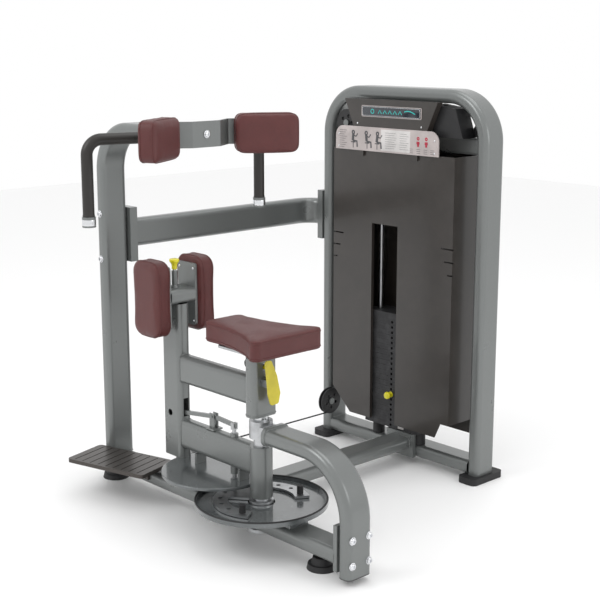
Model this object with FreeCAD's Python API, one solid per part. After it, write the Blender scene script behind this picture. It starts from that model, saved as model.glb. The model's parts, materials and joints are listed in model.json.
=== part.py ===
import FreeCAD, Part
import math
import os

# Rotary torso machine, in millimetres, +Z up.
# The parts are built about the swivel axis (x = y = 0, floor at z = 0), then
# moved together so that the middle of the whole machine's base is the origin.
# +X points at the bent leg that carries the upper bearing, +Y at the weight tower.
os.makedirs("parts", exist_ok=True)
V = FreeCAD.Vector
parts = {}

# frame tube
tube_wide = 105.0
tube_thin = 52.0
tube_corner = 20.0
wall = 3.5
half_wide = tube_wide / 2
half_thin = tube_thin / 2

# base rail and the post over it
rail_bottom = 56.0
rail_top = rail_bottom + tube_thin
post_x = -826.0
rail_back = post_x - 74.0
rail_front = 396.0
foot_radius = 50.0
post_bend = 155.0
arm_z = 1337.0
arm_front = -270.0

# bent leg that holds the upper bearing
flange_thick = 16.0
leg_x = rail_front + flange_thick + half_thin
leg_bend = 193.0
leg_top_z = 389.0
leg_bottom = 22.0
leg_plate_x = 62.0
leg_plate_thick = 15.0

# swivel
shaft_r = 25.0
run_fit = 0.06
bearing_r = 39.0
bearing_low = 366.0
bearing_high = 426.0
drum_r = 100.0
hub_r = 38.0
hub_low = 160.0
hub_high = 336.0
selector_low = 142.0
selector_thick = 8.0
hole_circle = 138.0
hole_pitch = 22.0
lock_pin_r = 7.0
tray_r = 224.0
tray_low = 136.0
tray_floor = 136.0
tray_high = 152.0

# swinging frame
disc_x = -234.0
disc_r = 193.0
disc_low = 181.0
disc_thick = 12.0
arm_low = 230.0
arm_high = arm_low + tube_wide
knee_x = -454.0
knee_top = 751.0
swing_low = 469.0
sleeve_low = 448.0
sleeve_high = 640.0
pad_low = 641.0
pad_tall = 270.0
pad_long = 153.0
pad_thick = 66.0

# seat
seat_top = 741.0
seat_thick = 74.0
seat_front = -205.0
seat_back = 150.0
seat_front_half = 82.5
seat_back_half = 150.0
seat_travel = 96.0
seat_post_wide = 90.0
seat_post_thin = 38.0
lever_pivot_x = 44.0
lever_pivot_z = 560.0

# release linkage
rocker_x = -247.0
rocker_z = 380.0
rod_pin_z = 352.0
lock_head_z = 374.0
fork_half = 5.6

# chest pads and handles
chest_angle = 31.0
chest_long = 220.0
chest_tall = 136.0
chest_thick = 65.0
chest_z = arm_z + 4
chest_x = -247.0
chest_y = 113.0
grip_x = -421.0
grip_y = 364.0
grip_r = 19.0
grip_bottom = arm_z - 281

# tower
tower_y = 1003.0
tower_left = -675.0
tower_right = 122.0
tower_top = 1470.0
tower_bend = 164.0
tower_low = 25.0
stack_x = -276.0
stack_y = 975.0
plate_pitch = 21.0
plate_gap = 0.5
plates_resting = 6
plates_lifted = 15
stack_low = 130.0
rod_offset = 110.0
rod_r = 9.5
shroud_front_y = 908.0
sheet = 4.0
shroud_left_x = -589.0
shroud_right_x = 36.0
slot_left = -376.0
slot_right = -240.0
shroud_low = 150.0
shroud_high = tower_top - 242

# cable and pulleys
cable_r = 3.0
cable_gap = 0.3
pulley_r = 50.0
corner_r = 45.0
rim_over = 4.0
pulley_half = 10.0
cable_x = -626.0
cable_z = 115.0
top_pulley_z = tower_top - 148
low_pulley_y = stack_y - pulley_r
drum_wrap = 160.0


def box(x0, x1, y0, y1, z0, z1):
    return Part.makeBox(x1 - x0, y1 - y0, z1 - z0, V(x0, y0, z0))


def upright(r, z0, z1, x=0.0, y=0.0):
    return Part.makeCylinder(r, z1 - z0, V(x, y, z0))


def along_x(r, x0, x1, y, z):
    return Part.makeCylinder(r, x1 - x0, V(x0, y, z), V(1, 0, 0))


def along_y(r, y0, y1, x, z):
    return Part.makeCylinder(r, y1 - y0, V(x, y0, z), V(0, 1, 0))


def joined(*shapes):
    return shapes[0].multiFuse(list(shapes[1:])).removeSplitter()


def outline(centre, u, v, width, height, r):
    """Rounded rectangle in the plane of u and v."""
    edges = []
    signs = [(1, 1), (-1, 1), (-1, -1), (1, -1)]
    ends = []
    for su, sv in signs:
        corner = centre + u * (su * (width / 2 - r)) + v * (sv * (height / 2 - r))
        a = corner + u * (su * r)
        b = corner + v * (sv * r)
        mid = corner + (u * su + v * sv) * (r / math.sqrt(2))
        if su * sv < 0:
            a, b = b, a
        ends.append((a, mid, b))
    for i, (a, mid, b) in enumerate(ends):
        edges.append(Part.Arc(a, mid, b).toShape())
        following = ends[(i + 1) % 4][0]
        edges.append(Part.LineSegment(b, following).toShape())
    return Part.Wire(edges)


def ring_face(centre, u, v, width, height, r=tube_corner, thick=wall):
    outer = outline(centre, u, v, width, height, r)
    inner = outline(centre, u, v, width - 2 * thick, height - 2 * thick, r - thick)
    return Part.Face(outer).cut(Part.Face(inner)).Faces[0]


def full_face(centre, u, v, width, height, r):
    return Part.Face(outline(centre, u, v, width, height, r))


def swept(face, moves):
    """Carry a face along straight runs and round bends, and join the pieces."""
    pieces = []
    for move in moves:
        if move[0] == "go":
            pieces.append(face.extrude(move[1]))
            face = face.copy()
            face.translate(move[1])
        else:
            centre, axis, angle = move[1:]
            pieces.append(face.revolve(centre, axis, angle))
            face = face.copy()
            face.rotate(centre, axis, angle)
    if len(pieces) == 1:
        return pieces[0]
    return joined(*pieces)


def bar(p, q, width, height):
    """Flat bar between two points of one x-z plane, width across y."""
    run = q - p
    solid = Part.makeBox(run.Length, width, height, V(0, -width / 2, -height / 2))
    solid.rotate(V(0, 0, 0), V(0, 1, 0), -math.degrees(math.atan2(run.z, run.x)))
    solid.translate(p)
    return solid


def strip(points, thick, z0, z1):
    """Bent plate that follows a plan line, thick to its left."""
    left = []
    for i, p in enumerate(points):
        before = points[max(i - 1, 0)]
        after = points[min(i + 1, len(points) - 1)]
        d1 = (p - before) if i > 0 else (after - p)
        d2 = (after - p) if i < len(points) - 1 else (p - before)
        d1.normalize()
        d2.normalize()
        n1 = V(-d1.y, d1.x, 0)
        n2 = V(-d2.y, d2.x, 0)
        n = n1 + n2
        n.normalize()
        left.append(p + n * (thick / n.dot(n1)))
    ring = points + left[::-1] + [points[0]]
    face = Part.Face(Part.makePolygon(ring))
    face.translate(V(0, 0, z0))
    return face.extrude(V(0, 0, z1 - z0))


def pulley(r, centre, axis):
    """Grooved wheel with a bore, cable centreline at radius r."""
    floor = r - cable_r - cable_gap
    rim = r + rim_over
    profile = [
        V(8.3, 0, -pulley_half), V(rim, 0, -pulley_half), V(rim, 0, -6.0), V(floor, 0, -4.0),
        V(floor, 0, 4.0), V(rim, 0, 6.0), V(rim, 0, pulley_half), V(8.3, 0, pulley_half),
    ]
    face = Part.Face(Part.makePolygon(profile + [profile[0]]))
    wheel = face.revolve(V(0, 0, 0), V(0, 0, 1), 360)
    lightening = [upright(7.0, -20, 20, (floor + 8) / 2, 0) for i in range(5)]
    for i, hole in enumerate(lightening):
        hole.rotate(V(0, 0, 0), V(0, 0, 1), 72 * i)
        wheel = wheel.cut(hole)
    wheel.Placement = FreeCAD.Placement(centre, FreeCAD.Rotation(V(0, 0, 1), axis))
    return wheel


def group(shapes):
    return Part.makeCompound(shapes)


def softened(shape, r, pick):
    edges = [e for e in shape.Edges if pick(e)]
    return shape.makeFillet(r, edges)


X, Y, Z = V(1, 0, 0), V(0, 1, 0), V(0, 0, 1)

# ---- base rail and what stands on it
rail = ring_face(V(rail_back, 0, (rail_bottom + rail_top) / 2), Y, Z, tube_wide, tube_thin)
rail = rail.extrude(V(rail_front - rail_back, 0, 0))
parts["base_rail"] = rail.cut(upright(32.2, 0, 150))
parts["rail_end_cap"] = full_face(
    V(rail_back, 0, (rail_bottom + rail_top) / 2), Y, Z, tube_wide, tube_thin, tube_corner
).extrude(V(-4, 0, 0))
feet = []
for x in (rail_back + 48, 293.0):
    pad = Part.makeCone(foot_radius, foot_radius - 4, 18, V(x, 0, 0))
    neck = Part.makeCone(foot_radius - 14, foot_radius - 20, rail_bottom - 34, V(x, 0, 18))
    feet.append(joined(pad, neck, upright(16, rail_bottom - 16, rail_bottom, x, 0)))
parts["rail_feet"] = group(feet)

turn_x = post_x + post_bend
post_face = ring_face(V(post_x, 0, rail_top), Y, X, tube_wide, tube_thin)
post_high = arm_z - post_bend
parts["post"] = post_face.extrude(V(0, 0, post_high - rail_top))
bend_face = ring_face(V(post_x, 0, post_high), Y, X, tube_wide, tube_thin)
parts["overhead_arm"] = swept(bend_face, [
    ("turn", V(turn_x, 0, post_high), Y, 90),
    ("go", V(arm_front - turn_x, 0, 0)),
])

leg_mid_x = leg_x - leg_bend
leg_face = ring_face(
    V(leg_plate_x + leg_plate_thick, 0, leg_top_z), Y, Z, tube_wide, tube_thin
)
parts["bent_leg"] = swept(leg_face, [
    ("go", V(leg_mid_x - leg_plate_x - leg_plate_thick, 0, 0)),
    ("turn", V(leg_mid_x, 0, leg_top_z - leg_bend), Y, 90),
    ("go", V(0, 0, leg_bottom + 3 - leg_top_z + leg_bend)),
])
parts["leg_end_cap"] = full_face(
    V(leg_x, 0, leg_bottom), Y, X, tube_wide, tube_thin, tube_corner
).extrude(V(0, 0, 3))
parts["leg_flange"] = box(rail_front, rail_front + flange_thick, -half_wide, half_wide, 38, 190)
bolts = []
for y in (-36, 36):
    for z in (70, 153):
        bolts.append(along_x(11, leg_x + half_thin, leg_x + half_thin + 8, y, z))
parts["leg_bolts"] = group(bolts)
plate = full_face(V(leg_plate_x, 0, leg_top_z), Y, Z, tube_wide + 6, tube_thin + 12, 24)
parts["leg_end_plate"] = plate.extrude(V(leg_plate_thick, 0, 0))
neck = box(20, leg_plate_x, -30, 30, bearing_low + 4, leg_top_z + 23)
parts["bearing_neck"] = neck.cut(upright(bearing_r, 300, 500))
housing = upright(bearing_r, bearing_low, bearing_high)
parts["upper_bearing"] = housing.cut(upright(shaft_r + run_fit, 300, 500))
low_housing = joined(upright(32, rail_bottom, rail_top), upright(48, 44, rail_bottom))
parts["lower_bearing"] = low_housing.cut(upright(shaft_r + run_fit, 0, 200))

tray_rim = upright(tray_r, tray_low, tray_high).cut(upright(tray_r - 6, 0, 200))
floor_plate = upright(tray_r - 6.05, tray_floor, tray_floor + 4).cut(upright(46, 0, 200))
parts["tray"] = joined(floor_plate, *[
    box(side * 165 - 20, side * 165 + 20, -40, 40, rail_top, tray_floor) for side in (-1, 1)
])
parts["tray_rim"] = tray_rim

# step plate on its bracket
step_angle = 15.5
step_centre = V(-663, -108, 0)
step_low, step_high = 128.0, 142.0
step = box(-175, 175, -93.5, 93.5, step_low, step_high)
step = softened(step, 14, lambda e: abs(e.Length - (step_high - step_low)) < 0.01)
for i in range(9):
    x = -144 + 36 * i
    step = step.cut(box(x - 2, x + 2, -84, 84, step_high - 2, step_high + 1))
step.rotate(V(0, 0, 0), Z, step_angle)
step.translate(step_centre)
parts["step_plate"] = step
bracket = joined(
    box(-760, -560, -150, -half_wide, step_low - 8, step_low),
    box(-760, -560, -half_wide - 8, -half_wide, rail_bottom + 22, step_low - 8),
)
parts["step_bracket"] = bracket

# ---- drive group: shaft, drum and selector plate
parts["drive_shaft"] = upright(shaft_r, 50, 395)
drum_floor = drum_r - cable_r - cable_gap
drum = upright(drum_r + 6, cable_z - 6, cable_z + 6)
groove = upright(drum_r + 20, cable_z - 4, cable_z + 4).cut(upright(drum_floor, 0, 300))
drum = drum.cut(groove).cut(upright(shaft_r + 0.2, 0, 300))
for i in range(5):
    hole = upright(17, 0, 300, 62, 0)
    hole.rotate(V(0, 0, 0), Z, 72 * i)
    drum = drum.cut(hole)
anchor_angle = 90 - drum_wrap - 9
anchor = upright(6, cable_z - 4, cable_z + 4, drum_r - 1, 0)
anchor.rotate(V(0, 0, 0), Z, anchor_angle)
parts["cable_drum"] = joined(drum, anchor)


def sector(r, half_angle, z0, z1):
    """Part of a disc, centred on the -X direction."""
    piece = Part.makeCylinder(r, z1 - z0, V(0, 0, z0), Z, 2 * half_angle)
    piece.rotate(V(0, 0, 0), Z, 180 - half_angle)
    return piece


selector_high = selector_low + selector_thick
selector_half = 5.6 * hole_pitch
rim = sector(hole_circle + 25, selector_half, selector_low, selector_high)
rim = rim.cut(upright(hole_circle - 25, 100, 200))
web = sector(hole_circle - 20, 38, selector_low, selector_high)
selector = joined(rim, web, upright(shaft_r + 16, selector_low - 12, selector_high))
selector = selector.cut(upright(shaft_r + 0.2, 100, 200))
for i in range(-4, 5):
    hole = upright(lock_pin_r + 0.7, 100, 200, -hole_circle, 0)
    hole.rotate(V(0, 0, 0), Z, hole_pitch * i)
    selector = selector.cut(hole)
parts["selector_plate"] = selector
bumpers = []
for side in (-1, 1):
    bumper = upright(11, selector_high, disc_low - 3, -hole_circle, 0)
    bumper.rotate(V(0, 0, 0), Z, side * 5.1 * hole_pitch)
    bumpers.append(bumper)
parts["selector_bumpers"] = group(bumpers)

# ---- swinging frame
swing_hub = upright(hub_r, hub_low, hub_high)
parts["swing_hub"] = swing_hub.cut(upright(shaft_r + run_fit, 0, 500))
knee_face_x = knee_x + half_wide
lower_arm = ring_face(V(knee_face_x, 0, arm_low + half_wide), Y, Z, tube_thin, tube_wide)
lower_arm = lower_arm.extrude(V(-knee_face_x - 20, 0, 0)).cut(upright(hub_r, 0, 500))
sleeve_r = 14.0
lower_arm = lower_arm.cut(upright(sleeve_r + 0.2, 0, 500, -hole_circle, 0))
parts["lower_arm"] = lower_arm
disc = upright(disc_r, disc_low, disc_low + disc_thick, disc_x, 0)
disc = softened(disc, 3, lambda e: abs(e.Length - 2 * math.pi * disc_r) < 0.1)
disc = disc.cut(upright(hub_r + 1, 0, 500))
parts["foot_disc"] = disc.cut(upright(lock_pin_r + 1.5, 0, 500, -hole_circle, 0))
disc_high = disc_low + disc_thick
parts["disc_hangers"] = group([
    box(x, x + 10, -22, 22, disc_high, arm_low) for x in (-96.0, -330.0)
])
knee = ring_face(V(knee_x, 0, disc_high), X, Y, tube_wide, tube_thin)
knee = knee.extrude(V(0, 0, knee_top - disc_high))
knee = knee.cut(box(knee_face_x - 10, knee_face_x + 5, -11, 11, 345, 411))
parts["knee_post"] = knee.cut(along_y(12, -60, 0, knee_x - 7, rod_pin_z))
swing_tube = ring_face(
    V(knee_face_x, 0, swing_low + half_wide - 1.5), Y, Z, tube_thin, tube_wide - 3
)
parts["swing_tube"] = swing_tube.extrude(V(-half_thin - knee_face_x, 0, 0))
window = box(0, 60, -13, 13, 596, 624)
seat_sleeve = ring_face(V(0, 0, sleeve_low), Y, X, tube_wide, tube_thin)
seat_sleeve = seat_sleeve.extrude(V(0, 0, sleeve_high - sleeve_low))
parts["seat_sleeve"] = seat_sleeve.cut(window)
liner_fit = 0.3
inner_wide = tube_wide - 2 * wall
inner_thin = tube_thin - 2 * wall
liner_low = 560.0
liner_outer = full_face(V(0, 0, liner_low), Y, X, inner_wide, inner_thin, tube_corner - wall)
liner = liner_outer.extrude(V(0, 0, sleeve_high - liner_low))
collar = full_face(V(0, 0, sleeve_high), Y, X, tube_wide, tube_thin, tube_corner)
liner = joined(liner, collar.extrude(V(0, 0, 6)))
liner_hole = full_face(
    V(0, 0, liner_low - 5), Y, X, seat_post_wide + 2 * liner_fit, seat_post_thin + 2 * liner_fit,
    12 + liner_fit
)
liner = liner.cut(liner_hole.extrude(V(0, 0, sleeve_high - liner_low + 20)))
parts["sleeve_liner"] = liner.cut(window)
stub = upright(shaft_r, 397, sleeve_low - 6)
parts["upper_pivot"] = joined(stub, full_face(
    V(0, 0, sleeve_low - 6), Y, X, tube_wide, tube_thin, tube_corner
).extrude(V(0, 0, 6)))
parts["sleeve_stop"] = joined(
    along_y(15, -14, 14, -51, 609), box(-51, -half_thin, -8, 8, 602, 616)
)

cross_high = knee_top + tube_thin + 1
cross_half = 52.0
cross = ring_face(
    V(knee_x, -cross_half, (knee_top + cross_high) / 2), X, Z, tube_wide, cross_high - knee_top
)
cross = cross.extrude(V(0, 2 * cross_half, 0))
guide_high = 862.0
stem_guide = upright(11, cross_high, guide_high, knee_x, 0)
parts["stem_guide"] = stem_guide.cut(upright(6 + run_fit, 700, 900, knee_x, 0))
parts["knee_crossbar"] = cross.cut(upright(6.5, 700, 900, knee_x, 0))
side_plates = []
pads = {}
for side, name in ((-1, "knee_pad_right"), (1, "knee_pad_left")):
    plate = full_face(
        V(knee_x, side * cross_half, pad_low + pad_tall / 2), X, Z, 96, 220, 12
    ).extrude(V(0, side * 10, 0))
    side_plates.append(plate)
    pad = full_face(
        V(knee_x - 4, side * (cross_half + 10), pad_low + pad_tall / 2), X, Z,
        pad_long, pad_tall, 45
    ).extrude(V(0, side * pad_thick, 0))
    parts[name] = pad.makeFillet(12, [
        e for e in pad.Edges if abs(e.BoundBox.YLength) < 1e-4
    ])
parts["knee_plates"] = group(side_plates)

# pivot bracket, rocker and pin guide on the lower arm
bracket_foot = box(rocker_x - 22, rocker_x + 22, -20, 20, arm_high, arm_high + 6)
ears = [
    box(rocker_x - 12, rocker_x + 12, s * 8.3 - 2, s * 8.3 + 2, arm_high, rocker_z + 12)
    for s in (-1, 1)
]
parts["rocker_bracket"] = joined(
    bracket_foot, ears[0], ears[1], along_y(5, -13, 13, rocker_x, rocker_z)
)
pin_guide = upright(sleeve_r, disc_high + 10, arm_high + 10, -hole_circle, 0)
parts["pin_guide"] = pin_guide.cut(upright(lock_pin_r + run_fit, 0, 500, -hole_circle, 0))

hub_axis = V(rocker_x, 0, rocker_z)
rod_pin = V(knee_x, 0, rod_pin_z)
head_pin = V(-hole_circle, 0, lock_head_z)
rocker = joined(
    along_y(11, -6, 6, rocker_x, rocker_z),
    bar(hub_axis + (rod_pin - hub_axis) * 1.05, hub_axis, 10, 14),
    bar(hub_axis, hub_axis + (head_pin - hub_axis) * 1.09, 10, 14),
)
rocker = rocker.cut(along_y(5 + run_fit, -20, 20, rocker_x, rocker_z))
for tip in (rod_pin, head_pin):
    run = tip - hub_axis
    run.normalize()
    slot = bar(tip - run * 3, tip + run * 3, 40, 9.2)
    for end in (-3, 3):
        centre = tip + run * end
        slot = slot.fuse(along_y(4.6, -20, 20, centre.x, centre.z))
    rocker = rocker.cut(slot)
parts["rocker_arm"] = rocker

fork = box(knee_x - 7, knee_x + 7, -10, 10, rod_pin_z - 8, rod_pin_z + 26)
fork = fork.cut(box(knee_x - 20, knee_x + 20, -fork_half, fork_half, 300, rod_pin_z + 18))
release_rod = joined(
    upright(6, rod_pin_z + 22, 880, knee_x, 0), fork, along_y(4, -10, 10, knee_x, rod_pin_z)
)
parts["release_rod"] = release_rod
knob_r = 17.5
knob_profile = [
    V(0, 0, 867), V(9.5, 0, 867), V(10, 0, 884), V(knob_r, 0, 894), V(knob_r, 0, 901),
    V(14.5, 0, 904), V(0, 0, 904), V(0, 0, 867),
]
knob = Part.Face(Part.makePolygon(knob_profile)).revolve(V(0, 0, 0), Z, 360)
knob.translate(V(knee_x, 0, 0))
parts["release_knob"] = knob.cut(upright(6.03, 800, 880, knee_x, 0))

lock_tip = selector_high + 3.5
head = box(-hole_circle - 7, -hole_circle + 7, -10, 10, 359, lock_head_z + 8)
head = head.cut(box(-hole_circle - 20, -hole_circle + 20, -fork_half, fork_half, 363, 500))
parts["lock_pin"] = joined(
    upright(lock_pin_r, lock_tip, 360, -hole_circle, 0), head,
    along_y(4, -10, 10, -hole_circle, lock_head_z)
)

# ---- seat
plate_low = seat_top - seat_thick - 8
post_low = 452.0
seat_post = ring_face(V(0, 0, post_low), Y, X, seat_post_wide, seat_post_thin, 12, 3)
seat_post = seat_post.extrude(V(0, 0, plate_low - post_low))
seat_step = 24.0
for i in range(round(seat_travel / seat_step) + 1):
    z = 600 - seat_step * i
    seat_post = seat_post.cut(box(10, 30, -11, 11, z, z + 18.5))
parts["seat_post"] = seat_post
parts["seat_plate"] = full_face(V(-20, 0, plate_low), X, Y, 230, 150, 15).extrude(V(0, 0, 8))


def seat_outline(z):
    r = 26.0
    f, b = seat_front, seat_back
    fh, bh = seat_front_half, seat_back_half
    waist = V((f + b) / 2 - 10, fh + 12, z)
    d = r * (1 - 1 / math.sqrt(2))
    side = [
        Part.Arc(V(f, fh - r, z), V(f + d, fh - d, z), V(f + r, fh, z)),
        Part.Arc(V(f + r, fh, z), waist, V(b - r - 8, bh, z)),
        Part.Arc(V(b - r - 8, bh, z), V(b - d, bh - d, z), V(b, bh - r - 8, z)),
    ]
    edges = [a.toShape() for a in side]
    edges.append(Part.LineSegment(V(b, bh - r - 8, z), V(b, -bh + r + 8, z)).toShape())
    mirrored = [a.toShape().mirror(V(0, 0, 0), Y) for a in side]
    edges += mirrored[::-1]
    edges.append(Part.LineSegment(V(f, -fh + r, z), V(f, fh - r, z)).toShape())
    return Part.Wire(Part.__sortEdges__(edges))


cushion = Part.Face(seat_outline(seat_top - seat_thick)).extrude(V(0, 0, seat_thick))
parts["seat_cushion"] = cushion

# latch lever of the seat, on its bracket
ears = [
    box(half_thin, lever_pivot_x + 8, s * 18 - 2, s * 18 + 2, lever_pivot_z - 12, lever_pivot_z + 12)
    for s in (-1, 1)
]
parts["lever_bracket"] = joined(
    ears[0], ears[1], along_y(3.5, -20, 20, lever_pivot_x, lever_pivot_z),
    box(half_thin, half_thin + 4, -20, 20, lever_pivot_z - 12, lever_pivot_z + 12)
)
paddle_points = [
    V(0, -33, 640), V(0, -7, 640), V(0, 18, 585), V(0, 32, 525), V(0, 24, 490),
    V(0, -8, 488), V(0, -20, 525), V(0, -26, 585),
]
paddle = Part.Face(Part.makePolygon(paddle_points + [paddle_points[0]]))
paddle = paddle.extrude(V(5, 0, 0))
paddle = softened(paddle, 9, lambda e: abs(e.Length - 5) < 0.01)
paddle.translate(V(56, 0, 0))
tooth = box(seat_post_thin / 2 + 0.6, 58, -9, 9, 605, 615)
barrel = along_y(7, -15, 15, lever_pivot_x, lever_pivot_z)
lever = joined(
    paddle, tooth, barrel, box(lever_pivot_x, 58, -15, 15, lever_pivot_z - 5, lever_pivot_z + 5)
)
parts["seat_lever"] = lever.cut(along_y(3.5 + run_fit, -40, 40, lever_pivot_x, lever_pivot_z))

# ---- chest pads, their bar, and the handles
slope = math.radians(chest_angle)
bar_thick = 8.0
for side, name in ((-1, "chest_pad_right"), (1, "chest_pad_left")):
    e = V(math.sin(slope), side * math.cos(slope), 0)
    n = V(math.cos(slope), -side * math.sin(slope), 0)
    inner = V(chest_x, side * chest_y, chest_z)
    middle = inner + e * (chest_long / 2) - n * chest_thick
    pad = full_face(middle, e, Z, chest_long, chest_tall, 28).extrude(n * chest_thick)
    front = middle + n * chest_thick
    parts[name] = pad.makeFillet(14, [
        edge for edge in pad.Edges
        if abs((edge.CenterOfMass - front).dot(n)) < 0.5
    ])
left_e = V(math.sin(slope), math.cos(slope), 0)
left_n = V(math.cos(slope), -math.sin(slope), 0)
back = V(chest_x, chest_y, 0) - left_n * chest_thick
bar_x = arm_front + bar_thick
left_points = [V(bar_x, 0, 0), V(bar_x, 58, 0), back - left_e * 16, back + left_e * 170]
right_points = [V(p.x, -p.y, 0) for p in left_points[::-1]]
parts["chest_bar"] = strip(right_points[:-1] + left_points, bar_thick, chest_z - 39, chest_z + 47)
bar_bolt = along_x(12, bar_x, bar_x + 9, 0, chest_z + 4)
parts["chest_bar_bolt"] = bar_bolt

handles = []
grips = []
caps = []
bar_r = 15.0
elbow = 50.0
for side in (-1, 1):
    root = V(grip_x + 86, side * (half_wide - 1), arm_z)
    turn = V(grip_x, side * grip_y, arm_z)
    run = turn - root
    run.normalize()
    bend_start = turn - run * elbow
    bend_end = turn - Z * elbow
    centre = bend_start - Z * elbow
    middle = centre + (run + Z) * (elbow / math.sqrt(2))
    path = Part.Wire([
        Part.LineSegment(root, bend_start).toShape(),
        Part.Arc(bend_start, middle, bend_end).toShape(),
        Part.LineSegment(bend_end, V(turn.x, turn.y, grip_bottom + 30)).toShape(),
    ])
    ring = Part.Wire(Part.makeCircle(bar_r, root, run))
    handle = path.makePipeShell([ring], True, False)
    arm_block = box(-600, 0, -half_wide, half_wide, arm_z - half_thin, arm_z + half_thin)
    handles.append(handle.cut(arm_block))
    low, high = grip_bottom + 34, arm_z - elbow
    grip_start = root + run * 70
    grip_path = Part.Wire([
        Part.LineSegment(grip_start, bend_start).toShape(),
        Part.Arc(bend_start, middle, bend_end).toShape(),
        Part.LineSegment(bend_end, V(turn.x, turn.y, low)).toShape(),
    ])
    outer, inner = [
        grip_path.makePipeShell([Part.Wire(Part.makeCircle(r, grip_start, run))], True, False)
        for r in (grip_r, bar_r + 0.1)
    ]
    grips.append(outer.cut(inner))
    cap = upright(22.5, grip_bottom, low, turn.x, turn.y)
    cap = cap.cut(upright(bar_r + 0.1, grip_bottom + 30, high, turn.x, turn.y))
    caps.append(cap)
parts["handle_bars"] = group(handles)
parts["handle_grips"] = group(grips)
parts["grip_caps"] = group(caps)

# ---- mid tube from the post to the tower
mid_z = 945.0
mid_bend = 80.0
post_plate = 16.0
mid_start = half_wide + 2 * post_plate
tower_plate = 14.0
mid_end = tower_left - half_thin - 2 * tower_plate
mid_face = ring_face(V(post_x, mid_start, mid_z), Z, X, tube_wide, tube_thin)
parts["mid_tube"] = swept(mid_face, [
    ("go", V(0, tower_y - mid_bend - mid_start, 0)),
    ("turn", V(post_x + mid_bend, tower_y - mid_bend, mid_z), V(0, 0, -1), 90),
    ("go", V(mid_end - post_x - mid_bend, 0, 0)),
])
mid_plates = []
for i in range(2):
    y = half_wide + i * post_plate
    mid_plates.append(box(post_x - 40, post_x + 40, y, y + post_plate - 0.5 * i, 842, 1044))
    x = mid_end + i * tower_plate
    mid_plates.append(box(x, x + tower_plate, tower_y - 52, tower_y + 52, 840, 1040))
parts["mid_tube_plates"] = group(mid_plates)
parts["mid_tube_bolts"] = group(
    [along_y(11, -half_wide - 8, -half_wide, post_x, z) for z in (860, 1027)]
    + [along_x(11, tower_left + half_thin, tower_left + half_thin + 8, tower_y, z)
       for z in (860, 1020)]
)

# link from the rail to the tower
link_x = -233.0
link_end = tower_y - half_wide - 17
link = ring_face(V(link_x, half_wide, rail_bottom + half_thin), X, Z, tube_wide, tube_thin)
parts["link_tube"] = link.extrude(V(0, link_end - half_wide, 0))
parts["link_flange"] = box(link_x - 70, link_x + 70, link_end, tower_y - half_wide, 27, 122)

# ---- tower
bend_z = tower_top - half_thin - tower_bend
for x, name in ((tower_left, "tower_upright_left"), (tower_right, "tower_upright_right")):
    face = ring_face(V(x, tower_y, tower_low), Y, X, tube_wide, tube_thin)
    parts[name] = face.extrude(V(0, 0, bend_z - tower_low))
arch_face = ring_face(V(tower_left, tower_y, bend_z), Y, X, tube_wide, tube_thin)
parts["tower_arch"] = swept(arch_face, [
    ("turn", V(tower_left + tower_bend, tower_y, bend_z), Y, 90),
    ("go", V(tower_right - tower_left - 2 * tower_bend, 0, 0)),
    ("turn", V(tower_right - tower_bend, tower_y, bend_z), Y, 90),
])
inner_left = tower_left + half_thin
inner_right = tower_right - half_thin
foot_tube = ring_face(
    V(inner_left, tower_y, tower_low + half_thin), Y, Z, tube_wide, tube_thin
)
parts["tower_foot_tube"] = foot_tube.extrude(V(inner_right - inner_left, 0, 0))
cross_low, cross_top = tower_top - 238, tower_top - 174
cross_y = tower_y
rear_tube = ring_face(
    V(inner_left, cross_y + half_thin, (cross_low + cross_top) / 2), Y, Z,
    tube_thin, cross_top - cross_low, 10
)
rear_tube = rear_tube.extrude(V(inner_right - inner_left, 0, 0))
parts["tower_crossbar"] = rear_tube.cut(parts["tower_arch"])
parts["tower_shoes"] = group([
    full_face(V(x, tower_y, 0), X, Y, 84, 176, 20).extrude(V(0, 0, tower_low))
    for x in (tower_left, tower_right)
])

# shroud: two bent panels and a rear sheet
back_y = tower_y + half_wide


def cut_corner(panel, points):
    prism = Part.Face(Part.makePolygon([V(x, 800, z) for x, z in points + [points[0]]]))
    return panel.cut(prism.extrude(V(0, 400, 0)))


def panel_of(x0, x1, outer_x, inner_x):
    front = box(x0, x1, shroud_front_y, shroud_front_y + sheet, shroud_low, shroud_high)
    side = box(
        min(outer_x, outer_x + sheet), max(outer_x, outer_x + sheet),
        shroud_front_y, back_y - sheet, shroud_low, shroud_high
    )
    lip = box(inner_x, inner_x + sheet, shroud_front_y, shroud_front_y + 14,
              shroud_low, shroud_high)
    return joined(front, side, lip)


left_panel = panel_of(shroud_left_x, slot_left, shroud_left_x, slot_left - sheet)
left_panel = cut_corner(left_panel, [
    (shroud_left_x - 10, shroud_low - 5), (shroud_left_x + 105, shroud_low - 5),
    (shroud_left_x - 10, shroud_low + 105),
])
right_panel = panel_of(slot_right, shroud_right_x, shroud_right_x - sheet, slot_right)
right_panel = cut_corner(right_panel, [
    (shroud_right_x + 10, shroud_low - 5), (shroud_right_x - 70, shroud_low - 5),
    (shroud_right_x - 40, shroud_low + 60), (shroud_right_x + 10, shroud_low + 60),
])
for i in range(3):
    length = 56 - 17 * i
    z = 886 - 49 * i
    left_panel = left_panel.cut(box(
        shroud_left_x - 5, shroud_left_x + length, shroud_front_y - 5,
        shroud_front_y + sheet + 5, z, z + 5
    ))
    right_panel = right_panel.cut(box(
        shroud_right_x - length, shroud_right_x + 5, shroud_front_y - 5,
        shroud_front_y + sheet + 5, z, z + 5
    ))
top_link = box(slot_left, slot_right, shroud_front_y, shroud_front_y + sheet, 945, shroud_high)
parts["shroud_left"] = left_panel
parts["shroud_right"] = right_panel
parts["shroud_middle"] = top_link
parts["shroud_rear"] = box(
    shroud_left_x, shroud_right_x, back_y - sheet, back_y, shroud_low, cross_low - 4
)

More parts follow.
